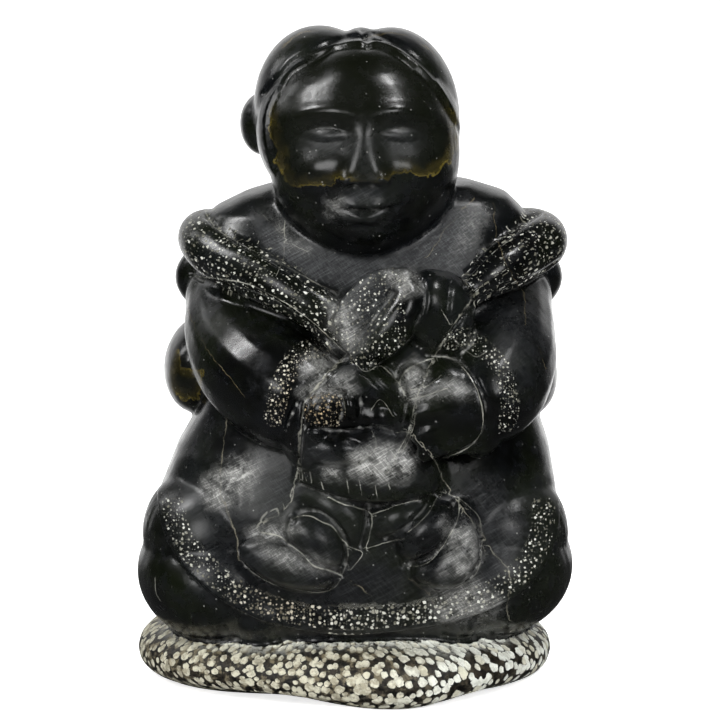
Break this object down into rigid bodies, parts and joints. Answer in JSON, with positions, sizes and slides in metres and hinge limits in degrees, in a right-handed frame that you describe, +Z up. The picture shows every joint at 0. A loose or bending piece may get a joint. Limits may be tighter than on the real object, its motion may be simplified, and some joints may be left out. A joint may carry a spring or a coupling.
{
  "type": "mother and child carving",
  "caption": "Dark polished soapstone carving of a kneeling mother holding a small child, on a rough pecked base of the same stone.",
  "frame": {"origin": "under the middle of the whole carving, on the sawn underside it stands on", "axes": "+Z up from the underside to the hair, the mother faces -Y, +X is at the right of someone who faces the carving"},
  "size_m": [0.1674, 0.1304, 0.2521],
  "materials": {
    "stone": "polished near-black green soapstone, with pale pecked dots"
  },
  "bodies": {
    "root": {"carving": "stone"}
  },
  "joints": []
}
